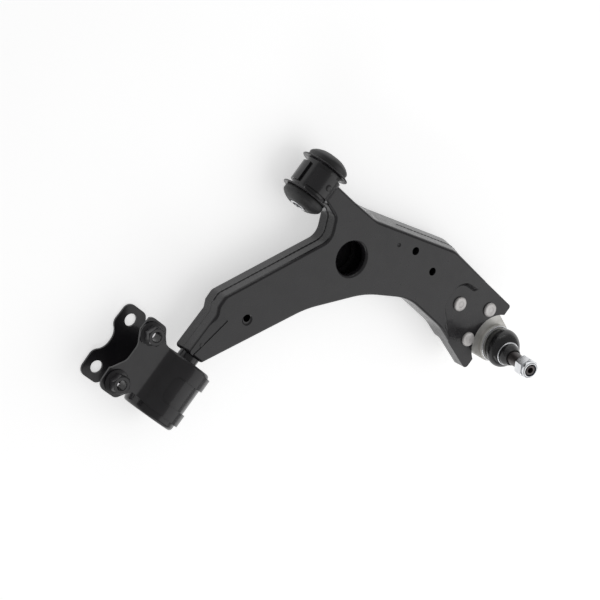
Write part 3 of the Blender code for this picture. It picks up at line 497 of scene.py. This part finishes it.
def along_edge(first, last, count, depth=0.0):
    """Points on the seam outline between two shares of its length."""
    outline = rounded(inset(arm_corners(SPLAY / 2), depth))
    lengths = [0]
    loop = outline + outline[:1]
    for a, b in zip(loop, loop[1:]):
        lengths.append(lengths[-1] + (b - a).length)
    total = lengths[-1]
    points = []
    for k in range(count):
        at = (first + (last - first) * k / (count - 1)) * total
        i = max(j for j in range(len(loop) - 1) if lengths[j] <= at)
        share = (at - lengths[i]) / max(lengths[i + 1] - lengths[i], 1e-9)
        p = loop[i].lerp(loop[i + 1], share)
        points.append((p.x, p.y, 0.0))
    return points


bead("seam_weld_outboard", along_edge(0.03, 0.22, 130, 0.0008), 0.0010, arm_paint)
bead("seam_weld_front", along_edge(0.50, 0.66, 110, 0.0006), 0.0011, arm_paint)
bead("seam_weld_inboard", along_edge(0.79, 0.95, 110, 0.0004), 0.0013, arm_paint)

# ---------------------------------------------------------------- front eye and bush
EYE_HALF, FLANGE_R = 0.0186, 0.0282
flare_y = EYE_HALF - 0.0016
eye = [(0.0183, -EYE_HALF + 0.001), (0.0193, -EYE_HALF), (FLANGE_R - 0.0005, -EYE_HALF), (FLANGE_R, -EYE_HALF + 0.0008),
       (FLANGE_R - 0.0005, -flare_y), (0.0235, -flare_y), (0.0213, -flare_y + 0.0008), (0.0205, -flare_y + 0.003)]
eye = eye + [(r, -y) for r, y in reversed(eye)]
finish_mesh("front_eye", spun(smooth_profile(eye + eye[:1])[:-1], along="Y"), "arm", 40, nodes=["front_eye_tube"], paint=arm_paint)
cap = [(0.0093, -0.0300), (0.0110, -0.0309), (0.0140, -0.0311), (0.0170, -0.0298), (0.0200, -0.0281), (0.0222, -0.0262),
       (0.0232, -0.0250), (0.0236, -0.0238), (0.0233, -0.0222), (0.0236, -0.0205), (0.0230, -0.0189), (0.0165, -0.0189),
       (0.0160, -0.0178)]
cap = cap + [(r, -y) for r, y in reversed(cap)]
finish_mesh("front_bush_rubber_moulding", spun(cap, along="Y"), "arm", 50, nodes=["front_bush_rubber"], paint=rubber)
sleeve = [(0.00625, -0.0312), (0.00705, -0.032), (0.0085, -0.032), (0.0090, -0.0315), (0.0090, 0.0315), (0.0085, 0.032),
          (0.00705, 0.032), (0.00625, 0.0312)]
finish_mesh("front_bush_steel_sleeve", spun(sleeve, along="Y"), "front_sleeve", 30, nodes=["front_bush_inner_sleeve"], paint=zinc)

# ---------------------------------------------------------------- rear pin, bush and bracket
pin_end = BUSH_Y - 0.0330
pin = [(0, pin_end), (0.0080, pin_end), (0.0095, pin_end + 0.0015), (0.0095, BUSH_Y + 0.0322), (0.0113, BUSH_Y + 0.0325),
       (0.0116, BUSH_Y + 0.0328), (0.0116, -0.1875), (0.0101, -0.186), (0, -0.186)]
finish_mesh("rear_pin_turning", spun(pin, 64, along="Y"), "arm", 30, nodes=["rear_pin"], paint=arm_paint)
tube = [(0.0098, -0.0320), (0.0130, -0.0320), (0.0130, 0.0320), (0.0098, 0.0320)]
finish_mesh("rear_bush_steel_sleeve", spun(smooth_profile(tube + tube[:1], 0.0004)[:-1], 64, (0, BUSH_Y, 0), "Y"), "arm", 30,
            nodes=["rear_bush_inner_sleeve"], paint=dark_steel)
can = [(0.0278, -0.0312), (0.0256, -0.0328), (0.0250, -0.0334), (0.0250, -0.0348), (0.0268, -0.0348), (0.0280, -0.0345),
       (0.0290, -0.0337), (0.0297, -0.0325), (0.0300, -0.0312)]
can = can + [(r, -y) for r, y in reversed(can)]
finish_mesh("rear_bush_steel_can", spun(can, FINE, (0, BUSH_Y, 0), "Y"), "rear_mount", 30, nodes=["rear_bush_can"], paint=bracket_paint)
filler = [(0.0133, -0.0300), (0.0160, -0.0301), (0.0180, -0.0285), (0.0200, -0.0272), (0.0240, -0.0280), (0.0275, -0.0295)]
filler = filler + [(r, -y) for r, y in reversed(filler)]
kidneys = []
for middle in (0, 180):
    rim = []
    for radius, order in ((0.0178, range(25)), (0.0232, range(24, -1, -1))):
        for k in order:
            angle = radians(middle - 38 + 76 * k / 24)
            rim.append((radius * cos(angle), BUSH_Y - 0.035, radius * sin(angle)))
    kidneys.append(("DIFFERENCE", extruded(rim, (0, 0.07, 0))))
dress(carved("rear_bush_rubber_moulding", spun(filler, FINE, (0, BUSH_Y, 0), "Y"), *kidneys), "rear_mount", 40,
      ["rear_bush_rubber"], rubber)

LEG_MIDDLE_Z = LEG_TOP_Z - STRAP_T / 2
STRAP_MIDDLE_R = STRAP_IN_R + STRAP_T / 2
BEND_R = 0.0125 + STRAP_T / 2
BEND_Z = LEG_MIDDLE_Z + BEND_R
BEND_X = -sqrt((STRAP_MIDDLE_R + BEND_R) ** 2 - BEND_Z ** 2)


def strap_window():
    """The opening in the strap, its corners eased, wrapped round the can."""
    half, ease, first, last = 0.0148, 0.0048, -20, 124
    turns = [first + 8 * k / 12 for k in range(12)] + [first + 8 + (last - first - 16) * k / 40 for k in range(41)]
    turns += [last - 8 + 8 * k / 12 for k in range(1, 13)]
    bm = bmesh.new()
    rings = []
    for turn in turns:
        near_end = max(0, 1 - min(turn - first, last - turn) / 8)
        width = half - ease * near_end ** 1.3
        angle = radians(turn)
        rings.append([bm.verts.new((r * cos(angle), REAR_Y - 0.0035 + y, r * sin(angle)))
                      for r, y in ((0.028, -width), (0.028, width), (0.038, width), (0.038, -width))])
    for here, there in zip(rings, rings[1:]):
        for i in range(4):
            bm.faces.new((here[i], here[(i + 1) % 4], there[(i + 1) % 4], there[i]))
    bm.faces.new(rings[0][::-1])
    bm.faces.new(rings[-1])
    return bm


def bracket():
    path = [Vector((LEG_END_X - 0.003, LEG_MIDDLE_Z))]
    toward = Vector((-BEND_X, -BEND_Z)).angle_signed(Vector((1, 0)))
    for k in range(17):
        angle = -pi / 2 + (toward + pi / 2) * k / 16
        path.append(Vector((BEND_X + BEND_R * cos(angle), BEND_Z + BEND_R * sin(angle))))
    for k in range(1, 97):
        angle = toward + pi + (-pi / 2 - toward - pi) * k / 96
        path.append(Vector((STRAP_MIDDLE_R * cos(angle), STRAP_MIDDLE_R * sin(angle))))
    path.append(Vector((LEG_END_X - 0.003, -STRAP_MIDDLE_R)))
    left, right = [], []
    for i, here in enumerate(path):
        run = (path[min(i + 1, len(path) - 1)] - path[max(i - 1, 0)]).normalized()
        normal = Vector((-run.y, run.x)) * (STRAP_T / 2)
        left.append(here + normal)
        right.append(here - normal)
    rim = [(p.x, REAR_Y - LEG_EAR_END - 0.002, p.y) for p in left + right[::-1]]
    blank = extruded(rim, (0, 2 * LEG_EAR_END + 0.004, 0))
    front = [(0.0500, 0.0255, 0), (-0.0200, 0.0265, 0.02), (-0.0410, 0.0300, 0.004)]
    rear = [(0.0500, -0.0335, 0), (-0.0200, -0.0310, 0.02), (-0.0410, -0.0290, 0.004)]
    ears = [(-0.0475, 0.0360, 0.006), (-0.0535, 0.0440, 0.008), (-0.0790, 0.0440, 0.009), (-0.0800, 0.0170, 0.010),
            (-0.0695, 0.0100, 0.016)]
    outline = front + ears + [(x, -y, r) for x, y, r in reversed(ears)] + rear[::-1]
    plan = [(x, REAR_Y + y, r) for x, y, r in outline]
    steps = [("INTERSECT", stack([(rounded(plan), -0.06), (rounded(plan), 0.06)]))]
    for side in (1, -1):
        steps.append(("DIFFERENCE", drill(BOLT_X, REAR_Y + side * BOLT_PITCH / 2, 0.00685, -0.06, 0.06)))
    waist = [(-0.1000, 0.0500, 0), (-0.0765, 0.0500, 0), (-0.0775, 0.0270, 0.004), (-0.0680, 0.0125, 0.012),
             (-0.0680, -0.0060, 0.012), (-0.0795, -0.0225, 0.008), (-0.1000, -0.0260, 0)]
    trim = rounded([(x, REAR_Y + y, r) for x, y, r in waist])
    steps.append(("DIFFERENCE", stack([(trim, 0.0), (trim, 0.04)])))
    steps.append(("DIFFERENCE", strap_window()))
    return carved("rear_bracket_strip", blank, *steps, bevel=0.00035)


dress(bracket(), "rear_mount", 30, ["rear_bracket"], bracket_paint)


def hexagon(flats, turn):
    r = flats / sqrt(3)
    return [Vector((r * cos(radians(turn + 60 * k)), r * sin(radians(turn + 60 * k)))) for k in range(6)]


def hex_nut(name, flats, low, high, bore, flange, flange_t, chamfer, where, body, nodes, paint, turn=11):
    r = flats / sqrt(3)
    foot = low + flange_t * 0.3
    bm = stack([(hexagon(flats, turn), foot), (hexagon(flats, turn), high)])
    steps = [("INTERSECT", spun([(0, low - 0.001), (r + 0.001, low - 0.001), (r + 0.001, high - chamfer),
                                 (r * 0.94, high - chamfer * 0.45), (flats / 2 * 0.95, high + 0.00005), (0, high + 0.00005)]))]
    if flange:
        rim = [(0, low), (flange - 0.0003, low), (flange, low + 0.0004), (flange, low + flange_t * 0.45),
               (flange - 0.0006, low + flange_t * 0.6), (flats / 2, low + flange_t), (0, low + flange_t)]
        steps.append(("UNION", spun(rim)))
    mouth = bore + 0.0007
    steps.append(("DIFFERENCE", spun([(0, low - 0.001), (bore, low - 0.001), (bore, high - 0.0007), (mouth, high), (mouth, high + 0.001), (0, high + 0.001)], 64)))
    obj = carved(name, bm, *steps, bevel=0.0002)
    obj.data.transform(where)
    return dress(obj, body, 30, nodes, paint)


for label, side in (("front", 1), ("rear", -1)):
    hex_nut("weld_nut_" + label, 0.0180, LEG_TOP_Z + 0.0003, LEG_TOP_Z + 0.0133, 0.0051, 0.0128, 0.0030, 0.0020,
            Matrix.Translation((BOLT_X, REAR_Y + side * BOLT_PITCH / 2, 0)), "rear_mount", ["bracket_nut_" + label],
            bracket_paint)

# ---------------------------------------------------------------- ball joint
BX, BY = BALL.x, BALL.y
flange = [(0.2480, -0.0005, 0.011), (0.2480, 0.0185, 0.011), (0.2950, 0.0405, 0.011), (0.3200, 0.0360, 0.015),
          (0.3560, 0.0270, 0.018), (0.3680, 0.0120, 0.016), (0.3680, -0.0060, 0.016), (0.3560, -0.0180, 0.018),
          (0.3200, -0.0235, 0.015), (0.2930, -0.0270, 0.011)]
low_z, top_z = FORK_BOTTOM_Z + SHEET + 0.0003, FORK_TOP_Z - SHEET - 0.0003
soft = 0.0012
rings = []
for k in range(5):
    angle = pi / 2 * k / 4
    rings.append((rounded(inset(flange, soft * (1 - sin(angle)))), low_z + soft * (1 - cos(angle))))
for k in range(5):
    angle = pi / 2 * k / 4
    rings.append((rounded(inset(flange, soft * (1 - cos(angle)))), top_z - soft * (1 - sin(angle))))
cup_r = 0.0225
cup = [(0, -0.0190), (cup_r - 0.0035, -0.0190), (cup_r - 0.0015, -0.0170), (cup_r, low_z - 0.001), (cup_r, 0.0100),
       (cup_r - 0.0020, 0.0115), (cup_r - 0.0020, 0.0135), (0, 0.0135)]
room = [(0, -0.0200), (0.0163, -0.0200), (0.0163, 0.0100), (0.0135, 0.0122), (0.0165, 0.0145), (0, 0.0145)]
steps = [("UNION", spun(smooth_profile(cup, 0.0008), FINE, (BX, BY, 0))), ("DIFFERENCE", spun(room, 80, (BX, BY, 0)))]
for x, y in RIVETS:
    steps.append(("DIFFERENCE", drill(x, y, 0.0058, -0.01, 0.02)))
dress(carved("ball_joint_forging", stack(rings), *steps), "arm", 30, ["ball_joint_housing"], pale_forging)

for number, (x, y) in enumerate(RIVETS, 1):
    top, low = FORK_TOP_Z + 0.0003, FORK_BOTTOM_Z - 0.0003
    profile = [(0, top + 0.0031), (0.0030, top + 0.0031), (0.0034, top + 0.0028), (0.0038, top + 0.0031), (0.0072, top + 0.0029),
               (0.0081, top + 0.0023), (0.0086, top + 0.0014), (0.0086, top), (0.0055, top), (0.0055, low), (0.0086, low),
               (0.0083, low - 0.0016), (0.0070, low - 0.0033), (0.0045, low - 0.0042), (0, low - 0.0044)]
    finish_mesh(f"rivet_head_{number}", spun(profile, 64, (x, y, 0)), "arm", 40, nodes=[f"rivet_{number}"], paint=rivet_steel)


def wire(middle, radius, z, steps=12):
    return spun([(middle + radius * cos(a), z + radius * sin(a)) for a in (2 * pi * k / steps for k in range(steps))])


on_stud = Matrix.Translation(BALL) @ STUD_TURN
finish_mesh("boot_foot_wire", wire(0.0215, 0.0008, 0.0126), "arm", 60, Matrix.Translation((BX, BY, 0)), ["boot_clamp_ring"], zinc)
NECK_Z = 0.0386
finish_mesh("boot_neck_wire", wire(0.0136, 0.0009, NECK_Z), "boot_neck", 60, on_stud, ["boot_neck_ring"], zinc)

NUT_Z, NUT_H, THREAD_R, STUD_R = 0.0700, 0.0170, 0.0068, 0.0085
STUD_END = NUT_Z + NUT_H - 0.0006
ball = [(0.013 * cos(a), 0.013 * sin(a)) for a in (-pi / 2 + (pi / 2 + radians(49.2)) * k / 32 for k in range(33))]
ball[0] = (0, -0.013)
stud = ball + [(STUD_R - 0.0003, 0.0125), (STUD_R, 0.0300), (STUD_R, 0.0480), (THREAD_R + 0.0008, 0.0657),
               (THREAD_R - 0.0008, 0.0665), (THREAD_R - 0.0008, NUT_Z + 0.0004)]
pitch = 0.0015
z = NUT_Z + 0.0006
while z < STUD_END - 0.0026:
    stud += [(THREAD_R - 0.0006, z), (THREAD_R, z + pitch / 2)]
    z += pitch
stud += [(THREAD_R - 0.0010, STUD_END), (0.0036, STUD_END), (0.0034, STUD_END - 0.0060), (0, STUD_END - 0.0068)]
finish_mesh("stud_turning", spun(stud, 64), "stud", 30, on_stud, ["ball_stud"], dark_steel)
flats = 0.0215
hex_top = NUT_Z + NUT_H - 0.0045
nut_r = flats / sqrt(3)
collar_r = flats / 2 * 0.93
nut_steps = [("INTERSECT", spun([(0, NUT_Z - 0.001), (nut_r * 0.9, NUT_Z - 0.001), (nut_r * 0.93, NUT_Z), (nut_r + 0.0005, NUT_Z + 0.0012),
                                 (nut_r + 0.0005, hex_top - 0.0014), (nut_r * 0.90, hex_top + 0.0001), (0, hex_top + 0.0001)])),
             ("UNION", spun([(0, NUT_Z + 0.004), (collar_r, NUT_Z + 0.004), (collar_r, NUT_Z + NUT_H - 0.0018), (collar_r - 0.0006, NUT_Z + NUT_H - 0.0006),
                             (collar_r - 0.0016, NUT_Z + NUT_H), (0, NUT_Z + NUT_H)])),
             ("DIFFERENCE", spun([(0, NUT_Z - 0.001), (0.0071, NUT_Z - 0.001), (0.0071, NUT_Z + NUT_H - 0.0046), (collar_r - 0.0022, NUT_Z + NUT_H - 0.0046),
                                  (collar_r - 0.0022, NUT_Z + NUT_H - 0.0012), (collar_r - 0.0026, NUT_Z + NUT_H + 0.001), (0, NUT_Z + NUT_H + 0.001)], 80))]
nut = carved("stud_lock_nut", stack([(hexagon(flats, 11), NUT_Z), (hexagon(flats, 11), hex_top)]), *nut_steps, bevel=0.00025)
nut.data.transform(on_stud)
dress(nut, "stud", 30, ["lock_nut"], zinc)
ins_top = NUT_Z + NUT_H - 0.0013
finish_mesh("nylon_ring", spun([(0.0071, ins_top - 0.0028), (collar_r - 0.0025, ins_top - 0.0028), (collar_r - 0.0025, ins_top - 0.0003), (collar_r - 0.0029, ins_top), (0.0074, ins_top), (0.0071, ins_top - 0.0003)]),
            "stud", 40, on_stud, ["nylon_insert"], nylon)

# boot, in two halves, each leaned more with height, from its foot towards the stud's turn
FOOT_Z, BULGE_Z, BOOT_R, WALL, FLATTEN = 0.0118, 0.0234, 0.0226, 0.0018, 0.80


def lean(point):
    share = min(max((point.z - FOOT_Z) / (NECK_Z - FOOT_Z), 0), 1)
    share = share * share * (3 - 2 * share)
    turn = Matrix.Rotation(radians(-4.0) * share, 4, "Y") @ Matrix.Rotation(radians(8.0) * share, 4, "X")
    return BALL + ORIGIN + turn @ point


def bulge(radius, first, last, steps):
    arc = (radians(first + (last - first) * k / steps) for k in range(steps + 1))
    return [(radius * cos(a), BULGE_Z + radius * sin(a) * FLATTEN) for a in arc]


lower_half = [(0.0185, FOOT_Z), (0.0192, FOOT_Z + 0.0002), (0.0196, FOOT_Z + 0.0012), (0.0198, FOOT_Z + 0.0026)] + bulge(BOOT_R, -26, 0, 12)
lower_half += bulge(BOOT_R - WALL, 0, -26, 12) + [(0.0174, FOOT_Z)]
upper_half = bulge(BOOT_R, 0, 50, 22)
upper_half += [(0.0130, NECK_Z - 0.0012), (0.0124, NECK_Z - 0.0007), (0.0124, NECK_Z + 0.0009), (0.0130, NECK_Z + 0.0014), (0.0133, NECK_Z + 0.0022),
               (0.0131, 0.0428), (0.0124, 0.0446), (0.0113, 0.0470), (0.0104, 0.0486), (0.0100, 0.0498), (0.0096, 0.0500)]
upper_half += [(0.0091, 0.0500), (0.0091, 0.0460), (0.0104, 0.0430), (0.0104, 0.0390), (0.0116, 0.0350)]
upper_half += bulge(BOOT_R - WALL, 46, 0, 20)
halves = {}
for name, profile in (("boot_lower_half", lower_half), ("boot_upper_half", upper_half)):
    obj = finish_mesh(name, spun(profile), None, 45, paint=boot_rubber)
    for vertex in obj.data.vertices:
        vertex.co = lean(vertex.co)
    halves[name] = obj
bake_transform(halves["boot_lower_half"])
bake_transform(halves["boot_upper_half"])
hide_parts("boot")

for node, paint in (("front_bush_outer_sleeve", dark_steel), ("ball_joint_cap", pale_forging), ("ball_seat", seat_plastic)):
    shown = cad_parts[node]
    shown.data.materials.clear()
    shown.data.materials.append(paint)

# ---------------------------------------------------------------- floor, light and camera
bm = bmesh.new()
bmesh.ops.create_grid(bm, x_segments=1, y_segments=1, size=30)
floor_mesh = bpy.data.meshes.new("floor")
bm.to_mesh(floor_mesh)
bm.free()
floor = bpy.data.objects.new("floor", floor_mesh)
bpy.context.scene.collection.objects.link(floor)
floor_paint, tree, shader = base_material("pale_floor")
tree.links.new(ramp(tree, noise(tree, 3.0), (0.93, 0.93, 0.93), (0.95, 0.95, 0.95)), shader.inputs["Base Color"])
shader.inputs["Roughness"].default_value = 0.8
shader.inputs["Emission Color"].default_value = (1, 1, 1, 1)
shader.inputs["Emission Strength"].default_value = 0.50
floor.data.materials.append(floor_paint)

world = bpy.data.worlds.new("soft_studio")
bpy.context.scene.world = world
world.use_nodes = True
world.node_tree.nodes["Background"].inputs["Color"].default_value = (1, 1, 1, 1)
world.node_tree.nodes["Background"].inputs["Strength"].default_value = 0.34
bpy.context.scene.view_settings.view_transform = "Standard"


def lamp(name, place, aim, size, power):
    light = bpy.data.lights.new(name, "AREA")
    light.shape = "RECTANGLE"
    light.size, light.size_y = size
    light.energy = power
    obj = bpy.data.objects.new(name, light)
    bpy.context.scene.collection.objects.link(obj)
    obj.location = place
    obj.rotation_mode = "QUATERNION"
    obj.rotation_quaternion = (Vector(aim) - Vector(place)).to_track_quat("-Z", "Y")
    return obj


lamp("key_light", (1.3, 0.25, 1.65), (0, 0, 0), (2.2, 2.2), 13)
lamp("strip_light", (-0.9, 1.5, 0.35), (0, 0, 0), (1.6, 0.12), 2.0)
lamp("rim_light", (0.5, -1.5, 0.7), (0, 0, 0), (1.4, 0.2), 3.0)

camera = bpy.data.cameras.new("camera")
camera.lens = 90
camera.sensor_width = 36
camera_obj = bpy.data.objects.new("camera", camera)
bpy.context.scene.collection.objects.link(camera_obj)
right, up, back = Vector((0.603, 0.580, 0.547)), Vector((-0.511, 0.808, -0.294)), Vector((-0.613, -0.103, 0.784))
turn = Matrix((right, up, back)).transposed().to_4x4()
camera_obj.matrix_world = Matrix.Translation(Vector((-0.913, -0.272, 1.265)) + ORIGIN) @ turn
camera.clip_start = 0.05
camera.clip_end = 60
bpy.context.scene.camera = camera_obj
